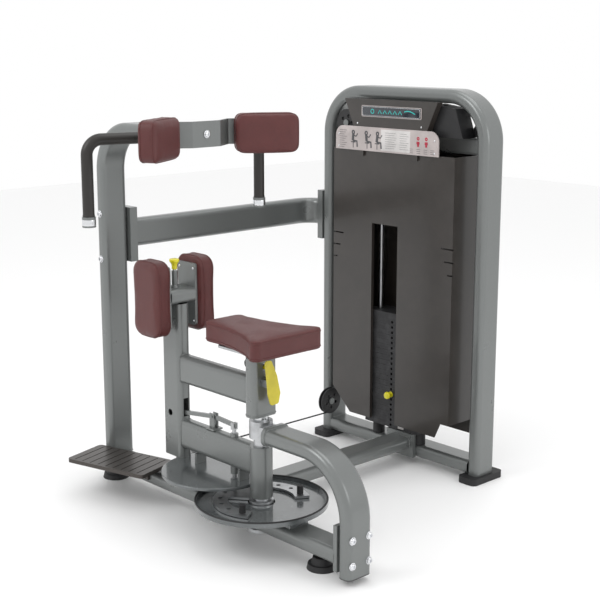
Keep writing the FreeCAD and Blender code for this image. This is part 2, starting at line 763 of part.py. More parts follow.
# header, badge and placard
header_back = 928.0
header_high = tower_top - 47
header_low = header_high - 112
header_face = Part.Face(Part.makePolygon([
    V(-470, 900, header_low), V(-97, 900, header_low), V(-45, 900, header_high),
    V(-522, 900, header_high), V(-470, 900, header_low),
]))
parts["header"] = header_face.extrude(V(0, header_back - 900, 0))
front_y = tower_y - half_wide
parts["header_brackets"] = group([
    box(x - 20, x + 20, header_back, front_y, header_high - 21, header_high)
    for x in (-440, -120)
] + [
    box(x - 20, x + 20, shroud_front_y - 8, shroud_front_y, shroud_high - 23, shroud_high - 3)
    for x in (-440, -160)
])
badge = full_face(V(stack_x + 1, 900, header_high - 44.5), X, Z, 308, 43, 6)
parts["header_badge"] = badge.extrude(V(0, -2, 0))
placard_low = shroud_high - 2
placard = full_face(V(-299.5, 895, placard_low + 2), X, Z, 533, 180, 40).extrude(V(0, 5, 0))
parts["placard"] = placard.cut(box(-700, 100, 800, 950, placard_low - 120, placard_low))
cover_face = Part.Face(Part.makePolygon([
    V(-96, 930, cross_top), V(52, 930, cross_top), V(14, 930, cross_top + 106),
    V(-96, 930, cross_top + 119), V(-96, 930, cross_top),
]))
cover = cover_face.extrude(V(0, 74, 0))
hollow = cover_face.extrude(V(0, 74, 0))
hollow.translate(V(-sheet, sheet, -sheet))
parts["top_cover"] = cover.cut(hollow)
parts["crossbar_wheel"] = along_y(24, 1005, 1035, 62, cross_top + 24.2)

# stack, guide rods and their seats
clamp_low = cross_low + 8
rods = []
for side in (-1, 1):
    rods.append(upright(rod_r, tower_low + tube_thin, clamp_low, stack_x + side * rod_offset, stack_y))
parts["guide_rods"] = group(rods)
head_clamp = box(
    stack_x - 130, stack_x + 130, stack_y - 18, cross_y, clamp_low, clamp_low + 12
)
parts["rod_clamp"] = head_clamp.cut(upright(14, clamp_low - 20, clamp_low + 40, stack_x, stack_y))
cushions = []
for side in (-1, 1):
    x = stack_x + side * rod_offset
    cushion_ring = upright(24, tower_low + tube_thin, stack_low - 0.5, x, stack_y)
    cushions.append(cushion_ring.cut(upright(rod_r + 0.3, 0, 300, x, stack_y)))
parts["stack_cushions"] = group(cushions)


def weight_plate(index):
    low = stack_low + index * plate_pitch
    high = low + plate_pitch - plate_gap
    slab = box(stack_x - 140, stack_x + 140, stack_y - 50, stack_y + 50, low, high)
    for side in (-1, 1):
        slab = slab.cut(upright(rod_r + 1, 0, 1500, stack_x + side * rod_offset, stack_y))
    slab = slab.cut(upright(13, 0, 1500, stack_x, stack_y))
    middle = (low + high) / 2
    return slab.cut(along_y(5.6, stack_y - 60, stack_y, stack_x, middle))


parts["resting_plates"] = group([weight_plate(i) for i in range(plates_resting)])
total = plates_resting + plates_lifted
parts["lifted_plates"] = group([weight_plate(i) for i in range(plates_resting, total)])
stack_high = stack_low + total * plate_pitch
head_plate = box(stack_x - 140, stack_x + 140, stack_y - 50, stack_y + 50,
                 stack_high - plate_gap, stack_high + 25)
for side in (-1, 1):
    head_plate = head_plate.cut(
        upright(rod_r + 1, 0, 1500, stack_x + side * rod_offset, stack_y)
    )
stem_top = stack_high + 64
stem = upright(11, stack_low + 20, stem_top, stack_x, stack_y)
head_plate = head_plate.cut(upright(11.1, 0, 1500, stack_x, stack_y))
for i in range(1, total):
    z = stack_low + i * plate_pitch + (plate_pitch - plate_gap) / 2
    stem = stem.cut(along_y(5.5, stack_y - 20, stack_y + 20, stack_x, z))
parts["head_plate"] = head_plate
parts["selector_stem"] = stem
pin_z = stack_low + plates_resting * plate_pitch + (plate_pitch - plate_gap) / 2
pin_knob = along_y(14, stack_y - 84, stack_y - 56, stack_x, pin_z)
pin_knob = softened(pin_knob, 4, lambda e: abs(e.Length - 2 * math.pi * 14) < 0.1)
parts["selector_pin"] = joined(pin_knob, along_y(5, stack_y - 58, stack_y + 6, stack_x, pin_z))

# pulleys, their brackets, and the cable
axle_r = 8.0
corner_centre = V(cable_x + corner_r, drum_r + corner_r, cable_z)
low_centre = V(cable_x, low_pulley_y, cable_z + pulley_r)
left_centre = V(cable_x + pulley_r, stack_y, top_pulley_z)
right_centre = V(stack_x - pulley_r, stack_y, top_pulley_z)
parts["corner_pulley"] = pulley(corner_r, corner_centre, Z)
parts["low_pulley"] = pulley(pulley_r, low_centre, X)
parts["top_pulley_left"] = pulley(pulley_r, left_centre, Y)
parts["top_pulley_right"] = pulley(pulley_r, right_centre, Y)
corner_top = cable_z + pulley_half
parts["corner_bracket"] = joined(
    box(corner_centre.x - 30, corner_centre.x + 30, half_wide, corner_centre.y + 26,
        corner_top - 2 * pulley_half - 12, corner_top - 2 * pulley_half - 3),
    upright(axle_r, corner_top - 2 * pulley_half - 6, corner_top + 3,
            corner_centre.x, corner_centre.y),
    upright(13, corner_top + 1, corner_top + 6, corner_centre.x, corner_centre.y)
)
parts["low_pulley_bracket"] = joined(
    box(inner_left, inner_left + 8, low_centre.y - 20, low_centre.y + 70,
        low_centre.z - 20, low_centre.z + 20),
    along_x(axle_r, inner_left + 4, cable_x + pulley_half + 3, low_centre.y, low_centre.z),
    along_x(13, cable_x + pulley_half + 1, cable_x + pulley_half + 6, low_centre.y, low_centre.z)
)
hangers = []
for centre in (left_centre, right_centre):
    hangers.append(joined(
        box(centre.x - 16, centre.x + 16, cross_y - 8, cross_y, cross_low + 24, centre.z + 18),
        along_y(axle_r, stack_y - pulley_half - 3, cross_y - 4, centre.x, centre.z),
        along_y(13, stack_y - pulley_half - 6, stack_y - pulley_half - 1, centre.x, centre.z)
    ))
parts["top_pulley_hangers"] = group(hangers)


def arc_point(centre, r, a, u, v):
    return centre + u * (r * math.cos(a)) + v * (r * math.sin(a))


def arc_edge(centre, r, a0, a1, u, v):
    return Part.Arc(
        arc_point(centre, r, a0, u, v), arc_point(centre, r, (a0 + a1) / 2, u, v),
        arc_point(centre, r, a1, u, v)
    ).toShape()


quarter = math.pi / 2
drum_centre = V(0, 0, cable_z)
wrap = math.radians(drum_wrap)
route = [
    arc_edge(drum_centre, drum_r, quarter - wrap, quarter, X, Y),
    Part.LineSegment(V(0, drum_r, cable_z), V(corner_centre.x, drum_r, cable_z)).toShape(),
    arc_edge(corner_centre, corner_r, -quarter, -2 * quarter, X, Y),
    Part.LineSegment(
        V(cable_x, corner_centre.y, cable_z), V(cable_x, low_centre.y, cable_z)
    ).toShape(),
    arc_edge(low_centre, pulley_r, -quarter, 0, Y, Z),
    Part.LineSegment(
        V(cable_x, stack_y, low_centre.z), V(cable_x, stack_y, top_pulley_z)
    ).toShape(),
    arc_edge(left_centre, pulley_r, 2 * quarter, quarter, X, Z),
    Part.LineSegment(
        V(left_centre.x, stack_y, top_pulley_z + pulley_r),
        V(right_centre.x, stack_y, top_pulley_z + pulley_r)
    ).toShape(),
    arc_edge(right_centre, pulley_r, quarter, 0, X, Z),
]
path = Part.Wire(route)
start = arc_point(drum_centre, drum_r, quarter - wrap, X, Y)
heading = V(-math.sin(quarter - wrap), math.cos(quarter - wrap), 0)
section = Part.Wire(Part.makeCircle(cable_r, start, heading))
parts["drive_cable"] = path.makePipeShell([section], True, True)
parts["stack_cable"] = upright(cable_r, stem_top, top_pulley_z, stack_x, stack_y)

# ---- pieces that are welded into one, and sets of like fasteners and plates


def weld(name, *others):
    parts[name] = joined(parts[name], *[parts.pop(other) for other in others])


def gather(name, *members):
    shapes = []
    for member in members:
        shapes += parts.pop(member).Solids
    parts[name] = group(shapes)


weld("lower_arm", "disc_hangers", "rocker_bracket", "pin_guide")
weld("knee_crossbar", "knee_plates", "stem_guide")
weld("upper_bearing", "bearing_neck")
gather("tray", "tray", "tray_rim")
weld("header", "header_brackets")
weld("tower_crossbar", "rod_clamp", "top_pulley_hangers")
weld("seat_sleeve", "lever_bracket", "upper_pivot")
weld("seat_post", "seat_plate")
weld("step_plate", "step_bracket")
gather("bearing_housings", "upper_bearing", "lower_bearing")
gather("tower_uprights", "tower_upright_left", "tower_upright_right")
gather("tube_end_caps", "rail_end_cap", "leg_end_cap")
gather("frame_bolts", "leg_bolts", "mid_tube_bolts", "chest_bar_bolt")
gather("flange_plates", "leg_flange", "leg_end_plate", "mid_tube_plates", "link_flange",
       "corner_bracket", "low_pulley_bracket")
gather("rubber_feet", "rail_feet", "tower_shoes", "stack_cushions")
gather("shroud_sheets", "shroud_middle", "shroud_rear")
gather("top_covers", "top_cover", "crossbar_wheel")
gather("sleeve_plastics", "sleeve_liner", "sleeve_stop")
gather("sign_plates", "header_badge", "placard")
gather("head_and_stem", "head_plate", "selector_stem")
gather("handle_frames", "handle_bars", "grip_caps")

# ---- one frame for all: the middle of the base of the whole machine
whole = Part.makeCompound(list(parts.values())).optimalBoundingBox(False, False)
shift = V(-whole.Center.x, -whole.Center.y, 0)
for name, shape in parts.items():
    moved = shape.copy()
    moved.translate(shift)
    moved.exportStep("parts/" + name + ".step")
print("swivel axis at", round(shift.x, 4), round(shift.y, 4))
print("nodes", len(parts))
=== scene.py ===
import bpy
import bmesh
import json
import math
from mathutils import Matrix, Vector


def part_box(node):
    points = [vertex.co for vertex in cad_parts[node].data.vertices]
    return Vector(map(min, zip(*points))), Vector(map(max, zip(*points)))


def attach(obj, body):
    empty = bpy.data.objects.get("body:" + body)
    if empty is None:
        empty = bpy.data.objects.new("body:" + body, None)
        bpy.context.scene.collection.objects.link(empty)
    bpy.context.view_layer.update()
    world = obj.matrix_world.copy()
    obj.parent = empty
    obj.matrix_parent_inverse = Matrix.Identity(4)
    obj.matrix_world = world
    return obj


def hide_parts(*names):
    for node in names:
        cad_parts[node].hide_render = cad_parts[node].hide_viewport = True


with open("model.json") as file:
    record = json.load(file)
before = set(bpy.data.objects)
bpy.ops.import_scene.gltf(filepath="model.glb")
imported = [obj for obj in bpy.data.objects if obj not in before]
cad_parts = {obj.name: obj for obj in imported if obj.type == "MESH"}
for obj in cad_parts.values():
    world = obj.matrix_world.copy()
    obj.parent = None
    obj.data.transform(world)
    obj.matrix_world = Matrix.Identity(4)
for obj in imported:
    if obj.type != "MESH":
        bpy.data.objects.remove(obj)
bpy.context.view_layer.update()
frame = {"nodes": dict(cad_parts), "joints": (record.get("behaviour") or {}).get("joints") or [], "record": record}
nodes = frame["nodes"]
scene = bpy.context.scene
print("frame loaded", len(nodes), "nodes")


# ---- small helpers

def clearPick():
    if bpy.context.object and bpy.context.object.mode != "OBJECT":
        bpy.ops.object.mode_set(mode="OBJECT")
    bpy.ops.object.select_all(action="DESELECT")


def pick(piece):
    clearPick()
    piece.select_set(True)
    bpy.context.view_layer.objects.active = piece


def settle(piece):
    # the place goes into the mesh, the object stays at the origin
    pick(piece)
    bpy.ops.object.transform_apply(location=True, rotation=True, scale=True)


def useModifier(piece, kind, **values):
    pick(piece)
    modifier = piece.modifiers.new(kind.title(), kind)
    for key, value in values.items():
        setattr(modifier, key, value)
    bpy.ops.object.modifier_apply(modifier=modifier.name)


def smooth(piece, angle=35):
    pick(piece)
    bpy.ops.object.shade_smooth_by_angle(angle=math.radians(angle))


def middle(low, high):
    return (low + high) / 2


def pickFaces(piece, wanted):
    # edit mode with only the wanted faces picked
    pick(piece)
    bpy.ops.object.mode_set(mode="EDIT")
    bpy.ops.mesh.select_mode(type="FACE")
    bpy.ops.mesh.select_all(action="DESELECT")
    mesh = bmesh.from_edit_mesh(piece.data)
    for face in mesh.faces:
        face.select_set(wanted(face))
    bmesh.update_edit_mesh(piece.data)


def addBlock(name, low, high, edge=0.001, turn=None):
    clearPick()
    low, high = Vector(low), Vector(high)
    bpy.ops.mesh.primitive_cube_add(size=1, location=middle(low, high))
    piece = bpy.context.object
    piece.name = name
    piece.scale = high - low
    if turn:
        piece.rotation_euler = turn
    settle(piece)
    useModifier(piece, "BEVEL", width=edge, segments=3)
    smooth(piece)
    return piece


def addCordLine(name, points, radius, closed=False, fineness=3):
    # round bead along a line of points, made a mesh
    curve = bpy.data.curves.new(name, "CURVE")
    curve.dimensions = "3D"
    curve.bevel_depth = radius
    curve.bevel_resolution = fineness
    curve.use_fill_caps = True
    line = curve.splines.new("POLY")
    line.points.add(len(points) - 1)
    for point, place in zip(line.points, points):
        point.co = (*place, 1)
    line.use_cyclic_u = closed
    piece = bpy.data.objects.new(name, curve)
    scene.collection.objects.link(piece)
    pick(piece)
    bpy.ops.object.convert(target="MESH")
    piece = bpy.context.object
    smooth(piece, 60)
    return piece


def loopPoints(centre, u, v, width, height, corner, steps=6):
    # rounded rectangle round a centre, in the plane of u and v
    points = []
    for quarter, (su, sv) in enumerate([(1, 1), (-1, 1), (-1, -1), (1, -1)]):
        base = centre + u * (su * (width / 2 - corner)) + v * (sv * (height / 2 - corner))
        for i in range(steps + 1):
            angle = math.radians(90 * quarter + 90 * i / steps)
            points.append(base + (u * math.cos(angle) + v * math.sin(angle)) * corner)
    return points


def joinPieces(name, pieces):
    clearPick()
    for piece in pieces:
        piece.select_set(True)
    bpy.context.view_layer.objects.active = pieces[0]
    bpy.ops.object.join()
    piece = bpy.context.object
    piece.name = name
    return piece


def finished(piece, body, slot, look, *replaced):
    piece.data.materials.clear()
    piece.data.materials.append(look)
    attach(piece, body)
    if replaced:
        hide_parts(*replaced)
    return piece


# ---- materials

class Signal:

    def __init__(self, look, socket):
        self.look, self.socket = look, socket

    def maths(self, operation, first, second=0.0):
        return self.look.add("Math", {"operation": operation}, {0: first, 1: second})[0]

    def __add__(self, other):
        return self.maths("ADD", self, other)

    def __sub__(self, other):
        return self.maths("SUBTRACT", self, other)

    def __rsub__(self, other):
        return self.maths("SUBTRACT", other, self)

    def __mul__(self, other):
        return self.maths("MULTIPLY", self, other)

    __radd__ = __add__
    __rmul__ = __mul__

    def above(self, level):
        return self.maths("GREATER_THAN", self, level)

    def between(self, low, high):
        settings = {"interpolation_type": "SMOOTHSTEP", "clamp": True}
        return self.look.add("MapRange", settings, {"Value": self, "From Min": low, "From Max": high})[0]


class Look:
    def __init__(self, name, colour, roughness=0.5, metallic=0.0, **fixed):
        self.material = bpy.data.materials.new(name)
        self.material.use_nodes = True
        self.tree = self.material.node_tree
        self.shader = self.tree.nodes["Principled BSDF"]
        self.material.diffuse_color = (*colour, 1)
        self.set(**{"Base Color": (*colour, 1), "Roughness": roughness, "Metallic": metallic})
        self.set(**{key.replace("_", " "): value for key, value in fixed.items()})
        self.place = self.add("TexCoord")["Object"]

    def add(self, kind, settings=None, inputs=None):
        node = self.tree.nodes.new("ShaderNode" + kind)
        for key, value in (settings or {}).items():
            if key == "stops":
                for stop, (position, colour) in zip(node.color_ramp.elements, value):
                    stop.position, stop.color = position, colour
            else:
                setattr(node, key, value)
        for key, value in (inputs or {}).items():
            self.feed(node.inputs[key], value)
        found = {o.name: Signal(self, o) for o in node.outputs if o.enabled}
        found[0] = Signal(self, next(o for o in node.outputs if o.enabled))
        return found

    def feed(self, socket, value):
        if isinstance(value, Signal):
            self.tree.links.new(value.socket, socket)
        else:
            socket.default_value = value

    def set(self, **values):
        for key, value in values.items():
            self.feed(self.shader.inputs[key], value)

    def noise(self, scale, detail=3.0, roughness=0.55, place=None):
        return self.add("TexNoise", {}, {
            "Vector": place or self.place, "Scale": scale, "Detail": detail, "Roughness": roughness})[0]

    def cells(self, scale, feature="DISTANCE_TO_EDGE"):
        return self.add("TexVoronoi", {"feature": feature}, {"Vector": self.place, "Scale": scale})["Distance"]

    def blend(self, factor, first, second):
        node = self.tree.nodes.new("ShaderNodeMix")
        node.data_type = "RGBA"
        self.feed(node.inputs[0], factor)
        for socket, colour in ((node.inputs[6], first), (node.inputs[7], second)):
            self.feed(socket, colour if isinstance(colour, Signal) else (*colour, 1))
        return Signal(self, node.outputs[2])

    def relief(self, height, strength=0.2, distance=0.001, under=None):
        inputs = {"Height": height, "Strength": strength, "Distance": distance}
        if under:
            inputs["Normal"] = under
        return self.add("Bump", {}, inputs)["Normal"]


def tint(colour, factor):
    return tuple(min(1.0, c * factor) for c in colour)


def metalPaint(name, colour, roughness, metallic=0.55, brightBelow=None):
    look = Look(name, colour, roughness, metallic, Coat_Weight=0.25, Coat_Roughness=0.25)
    flake = look.noise(1500, 2)
    cloud = look.noise(7, 4)
    scuff = look.noise(26, 9, 0.72).between(0.64, 0.7)
    shade = look.blend(flake.between(0.35, 0.68), tint(colour, 0.86), tint(colour, 1.16))
    shade = look.blend(scuff * 0.2, shade, tint(colour, 1.3))
    rough = roughness - 0.05 + cloud * 0.1 + scuff * 0.12
    if brightBelow:
        # bare turned steel under this height
        bare = 1 - look.add("SeparateXYZ", {}, {0: look.place})["Z"].above(brightBelow)
        shade = look.blend(bare, shade, (0.55, 0.56, 0.57))
        rough = rough - bare * 0.14
        look.set(Metallic=bare * (1 - metallic) + metallic)
    look.set(**{
        "Base Color": shade,
        "Roughness": rough,
        "Normal": look.relief(flake + look.noise(240, 2) * 0.6, 0.06, 0.0004)})
    return look.material


def turnedSteel(name, colour, roughness):
    look = Look(name, colour, roughness, 1.0)
    stretch = look.add("Mapping", {}, {"Vector": look.place, "Scale": (40, 40, 900)})[0]
    lines = look.noise(3.0, 3, 0.6, stretch)
    stain = look.noise(18, 5, 0.6)
    look.set(**{
        "Base Color": look.blend(stain.between(0.45, 0.75), colour, tint(colour, 0.7)),
        "Roughness": roughness + lines * 0.12 + stain * 0.06,
        "Normal": look.relief(lines, 0.08, 0.0004)})
    return look.material


def vinyl(name, colour):
    look = Look(name, colour, 0.47, 0.0, Specular_IOR_Level=0.45)
    creases = look.cells(520).between(0.0, 0.16)
    pores = look.noise(1500, 2)
    mottle = look.noise(22, 5, 0.6)
    worn = look.noise(6, 3).between(0.45, 0.7)
    # painted shade: the colour darkens to 0.7 in the grain creases, where shade falls; the same crease mask also sets
    # roughness and bump
    shade = look.blend(creases, tint(colour, 0.7), colour)
    shade = look.blend(mottle.between(0.35, 0.7) * 0.25, shade, tint(colour, 1.3))
    look.set(**{
        "Base Color": shade,
        "Roughness": 0.36 + creases * 0.08 + worn * 0.1 - mottle * 0.04,
        "Normal": look.relief(creases + pores * 0.35, 0.34, 0.0005,
                              look.relief(look.noise(14, 3), 0.12, 0.004))})
    return look.material


def moulded(name, colour, roughness, grain=700, bump=0.18, coat=0.0, dust=0.3):
    look = Look(name, colour, roughness, 0.0, Coat_Weight=coat, Coat_Roughness=0.12)
    stipple = look.noise(grain, 3)
    cloud = look.noise(9, 5, 0.65)
    speck = look.noise(60, 8, 0.7).between(0.62, 0.72)
    shade = look.blend(cloud.between(0.35, 0.7) * 0.6, tint(colour, 0.85), tint(colour, 1.25))
    shade = look.blend(speck * dust, shade, tuple(c * 1.2 + 0.03 for c in colour))
    look.set(**{
        "Base Color": shade,
        "Roughness": roughness - 0.04 + cloud * 0.1 + speck * dust * 0.3,
        "Normal": look.relief(stipple, bump, 0.0004)})
    return look.material


def castIron(name, colour):
    look = Look(name, colour, 0.55, 0.35)
    grain = look.noise(420, 5, 0.7)
    patch = look.noise(30, 6, 0.65)
    look.set(**{
        "Base Color": look.blend(patch.between(0.4, 0.7), tint(colour, 0.8), tint(colour, 1.4)),
        "Roughness": 0.42 + patch * 0.22,
        "Normal": look.relief(grain, 0.35, 0.0006)})
    return look.material


def discGloss(name, colour, centre):
    look = Look(name, colour, 0.2, 0.35, Coat_Weight=0.7, Coat_Roughness=0.06)
    local = look.add("Mapping", {}, {"Vector": look.place, "Location": (-centre.x, -centre.y, 0)})[0]
    rings = look.add("TexWave", {"wave_type": "RINGS", "rings_direction": "Z"}, {
        "Vector": local, "Scale": 26.0, "Distortion": 0.0})[0]
    cloud = look.noise(6, 5, 0.6)
    scratch = look.noise(70, 10, 0.75).between(0.6, 0.7)
    look.set(**{
        "Base Color": look.blend(cloud.between(0.35, 0.7), tint(colour, 0.85), tint(colour, 1.2)),
        "Roughness": 0.17 + cloud * 0.1 + scratch * 0.25,
        "Normal": look.relief(rings, 0.05, 0.0006)})
    return look.material


looks = {
    "frame_paint": metalPaint("silverPowder", (0.18, 0.19, 0.187), 0.29, 0.45),
    "gloss_disc": discGloss("polishedDisc", (0.12, 0.13, 0.133),
                            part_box("foot_disc")[0].lerp(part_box("foot_disc")[1], 0.5)),
    "step_metal": metalPaint("stepCoat", (0.055, 0.047, 0.042), 0.4, 0.5),
    "bright_steel": turnedSteel("turnedSteel", (0.5, 0.51, 0.52), 0.26),
    "chrome": turnedSteel("chromePlate", (0.75, 0.76, 0.78), 0.09),
    "pad_leather": vinyl("burgundyVinyl", (0.092, 0.0185, 0.0175)),
    "rubber": moulded("blackRubber", (0.014, 0.014, 0.015), 0.62, 900, 0.3),
    "black_plastic": moulded("blackMoulding", (0.013, 0.013, 0.014), 0.38, 800, 0.15),
    "shroud_plastic": moulded("shroudGloss", (0.034, 0.029, 0.0255), 0.3, 500, 0.02, 0.3, 0.0),
    "sign_print": moulded("signSheet", (0.46, 0.41, 0.4), 0.35, 900, 0.04, 0.3, 0.05),
    "weight_iron": castIron("weightIron", (0.035, 0.035, 0.037)),
    "lever_yellow": moulded("leverYellow", (0.58, 0.49, 0.012), 0.36, 900, 0.1, 0.3, 0.1),
    "knob_yellow": moulded("knobYellow", (0.78, 0.7, 0.012), 0.33, 900, 0.08, 0.4, 0.06),
    "grip_foam": moulded("gripFoam", (0.017, 0.0145, 0.0125), 0.42, 1400, 0.22, 0.0, 0.04),
    "sleeve_paint": metalPaint("sleevePowder", (0.18, 0.19, 0.187), 0.29, 0.45, 0.4415),
    "cable_steel": moulded("cableJacket", (0.02, 0.02, 0.021), 0.35, 1200, 0.3),
}
for entry in frame["record"]["subparts"]:
    node = nodes[entry["node"]]
    node.data.materials.clear()
    named = "sleeve_paint" if entry["node"] == "seat_sleeve" else entry["material_slot"]
    node.data.materials.append(looks[named])
print("materials made", len(looks))


# ---- upholstered pads, blown up a little by the cloth solver

padding = {
    "pressure": 4.0,
    "voxel": 0.006,
    "shrink": 0.003,
    "frames": 20,
    "chestRise": 0.0032,
    "kneeRise": 0.0026,
    "seatRise": 0.0032,
}


def stuffedPad(name, node, body, rise):
    low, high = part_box(node)
    centre = middle(low, high)
    piece = bpy.data.objects.new(name, nodes[node].data.copy())
    scene.collection.objects.link(piece)
    useModifier(piece, "REMESH", mode="VOXEL", voxel_size=padding["voxel"])
    useModifier(piece, "DISPLACE", strength=-padding["shrink"], mid_level=0.0)
    start = [vertex.co.copy() for vertex in piece.data.vertices]
    pick(piece)
    cloth = piece.modifiers.new("Cloth", "CLOTH")
    cloth.settings.use_pressure = True
    cloth.settings.uniform_pressure_force = padding["pressure"]
    cloth.settings.tension_stiffness = 40
    cloth.settings.compression_stiffness = 40
    cloth.settings.bending_stiffness = 6
    cloth.settings.effector_weights.gravity = 0
    cloth.point_cache.frame_start, cloth.point_cache.frame_end = 1, padding["frames"]
    for step in range(1, padding["frames"] + 1):
        scene.frame_set(step)
    bpy.ops.object.modifier_apply(modifier=cloth.name)
    scene.frame_set(1)
    for vertex, was in zip(piece.data.vertices, start):
        moved = vertex.co - was
        if moved.length > rise:
            vertex.co = was + moved * (rise / moved.length)
    useModifier(piece, "SMOOTH", factor=0.5, iterations=4)
    useModifier(piece, "SUBSURF", levels=1, render_levels=1)
    smooth(piece, 80)
    finished(piece, body, "pad_leather", looks["pad_leather"], node)
    return piece, centre


pads = {}
for side in ("left", "right"):
    label = side.title()
    pads["chest" + side], _ = stuffedPad("chestPad" + label, "chest_pad_" + side, "base", padding["chestRise"])
    pads["knee" + side], _ = stuffedPad("kneePad" + label, "knee_pad_" + side, "swing_frame", padding["kneeRise"])
pads["seat"], _ = stuffedPad("seatPad", "seat_cushion", "seat", padding["seatRise"])
print("pads stuffed")


# ---- places are counted from the swivel axis, in metres

swivel = Vector(next(joint["pos_m"] for joint in frame["joints"] if joint["name"] == "drive_turn"))
swivel.z = 0


def at(x, y, z):
    return swivel + Vector((x, y, z)) / 1000


def turned(name, profile, centre, axis, sides=64):
    # a line of (radius, height) pairs in millimetres, spun about the axis
    mesh = bpy.data.meshes.new(name)
    points = [(r / 1000, 0, z / 1000) for r, z in profile]
    mesh.from_pydata(points, [(i, i + 1) for i in range(len(points) - 1)], [])
    piece = bpy.data.objects.new(name, mesh)
    scene.collection.objects.link(piece)
    useModifier(piece, "SCREW", steps=sides, render_steps=sides, use_merge_vertices=True, merge_threshold=0.00001)
    pickFaces(piece, lambda face: True)
    bpy.ops.mesh.normals_make_consistent(inside=False)
    bpy.ops.object.mode_set(mode="OBJECT")
    piece.rotation_mode = "QUATERNION"
    piece.rotation_quaternion = Vector(axis).to_track_quat("Z", "Y")
    piece.location = centre
    settle(piece)
    smooth(piece, 40)
    return piece


def snapTo(piece, points, spacing=0.004):
    # points along a loop, spread evenly and laid on the piece's skin
    laid = []
    for i, point in enumerate(points):
        following = points[(i + 1) % len(points)]
        count = max(1, round((following - point).length / spacing))
        for step in range(count):
            hit, place, _, _ = piece.closest_point_on_mesh(point.lerp(following, step / count))
            laid.append(place if hit else point)
    return laid


xAxis, yAxis, zAxis = Vector((1, 0, 0)), Vector((0, 1, 0)), Vector((0, 0, 1))

# seams: a bead where the face panel of each pad meets its border
seams = {
    "chestTurn": 31, "chestLong": 0.22, "chestTall": 0.136, "chestCorner": 0.02,
    "chestInner": (-247, 113, 1341), "chestBack": 0.012,
    "kneeLong": 0.153, "kneeTall": 0.27, "kneeCorner": 0.045, "kneeBack": 0.012,
    "seatBack": 0.012, "bead": 0.0019,
}


def seamBead(name, pad, loop, body):
    bead = addCordLine(name, snapTo(pad, loop), seams["bead"], True)
    return finished(bead, body, "pad_leather", looks["pad_leather"])


lean = math.radians(seams["chestTurn"])
for sign, side in ((1, "left"), (-1, "right")):
    along = Vector((math.sin(lean), sign * math.cos(lean), 0))
    outward = Vector((math.cos(lean), -sign * math.sin(lean), 0))
    x, y, z = seams["chestInner"]
    front = at(x, sign * y, z) + along * seams["chestLong"] / 2
    for number, depth in enumerate((seams["chestBack"], 0.055)):
        loop = loopPoints(front - outward * depth, along, zAxis, seams["chestLong"] + 0.01,
                          seams["chestTall"] + 0.01, seams["chestCorner"])
        seamBead("chestSeam" + side.title() + str(number), pads["chest" + side], loop, "base")
    low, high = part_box("knee_pad_" + side)
    centre = middle(low, high)
    for number, depth in enumerate((seams["kneeBack"], 0.054)):
        outer = high.y if sign > 0 else low.y
        centre.y = outer - sign * depth
        loop = loopPoints(centre, xAxis, zAxis, seams["kneeLong"] + 0.01,
                          seams["kneeTall"] + 0.01, seams["kneeCorner"])
        seamBead("kneeSeam" + side.title() + str(number), pads["knee" + side], loop, "swing_frame")


seatShape = {"front": -205, "back": 150, "frontHalf": 82.5, "backHalf": 150, "waist": (-37, 95), "corner": 30}


def seatLoop(height):
    # plan outline of the seat, a little outside its skin
    f, b, fh, bh, c = (seatShape[key] for key in ("front", "back", "frontHalf", "backHalf", "corner"))
    half = [(f - 3, 0), (f - 3, fh - c), (f + 5, fh - 5), (f + c, fh + 3)]
    wx, wy = seatShape["waist"]
    for i in range(1, 12):
        part = i / 12
        x = (1 - part) * (f + c) + part * (b - c)
        bow = ((x - wx) / (b - c - wx)) ** 2
        y = wy + bow * ((bh if x > wx else fh) - wy)
        half.append((x, y + 3))
    half += [(b - c, bh + 3), (b - 6, bh - 6), (b + 3, bh - c), (b + 3, 0)]
    points = half + [(x, -y) for x, y in half[-2:0:-1]]
    return [at(x, y, height) for x, y in points]


seatLow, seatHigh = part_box("seat_cushion")
for number, height in enumerate((seatHigh.z - seams["seatBack"], seatLow.z + seams["seatBack"])):
    seamBead("seatSeam" + str(number), pads["seat"], seatLoop(height * 1000), "seat")
print("seams sewn")


# fasteners: domed heads with a socket, on washers
heads = {
    "leg": [(472, y, z, xAxis) for y in (-36, 36) for z in (70, 153)],
    "post": [(-826, -60.5, z, -yAxis) for z in (860, 1027)],
    "tower": [(-641, 1003, z, xAxis) for z in (860, 1020)],
    "chestBar": [(-253, 0, 1345, xAxis)],
    "radius": 10.5,
}


def boltHead(x, y, z, axis, radius):
    profile = [(radius + 2.5, -8), (radius + 2.5, -6.3), (radius + 1.8, -5.8), (radius, -5.8),
               (radius, -2.6), (radius * 0.86, -0.8), (radius * 0.6, 0), (radius * 0.46, 0),
               (radius * 0.42, -0.6), (radius * 0.42, -4.2), (0, -4.6)]
    return turned("boltHead", profile, at(x, y, z), axis, 32)


made = [boltHead(*place, heads["radius"]) for group in ("leg", "post", "tower", "chestBar")
        for place in heads[group]]
finished(joinPieces("boltHeads", made), "base", "chrome", looks["chrome"], "frame_bolts")

# small screws of the header, the placard and the knee pad plates
screws = [(x, 894.4, z) for x in (-548, -51) for z in (1238, 1284)]
screws += [(x, 899.6, 1330) for x in (-452, -122)]
made = []
for x, y, z in screws:
    made.append(turned("signScrew", [(3.6, -0.6), (3.4, 0.9), (2.6, 1.5), (1.2, 1.5), (1.0, 0.5), (0, 0.5)],
                       at(x, y, z), -yAxis, 20))
finished(joinPieces("signScrews", made), "base", "chrome", looks["chrome"])
made = []
for sign in (-1, 1):
    for x in (-492, -416):
        for z in (682, 868):
            made.append(turned("padScrew", [(4.6, -0.5), (4.6, 1.2), (3.2, 2.6), (1.6, 2.6), (1.5, 1.2), (0, 1.2)],
                               at(x, sign * 52, z), -sign * yAxis, 20))
finished(joinPieces("padScrews", made), "swing_frame", "chrome", looks["chrome"])


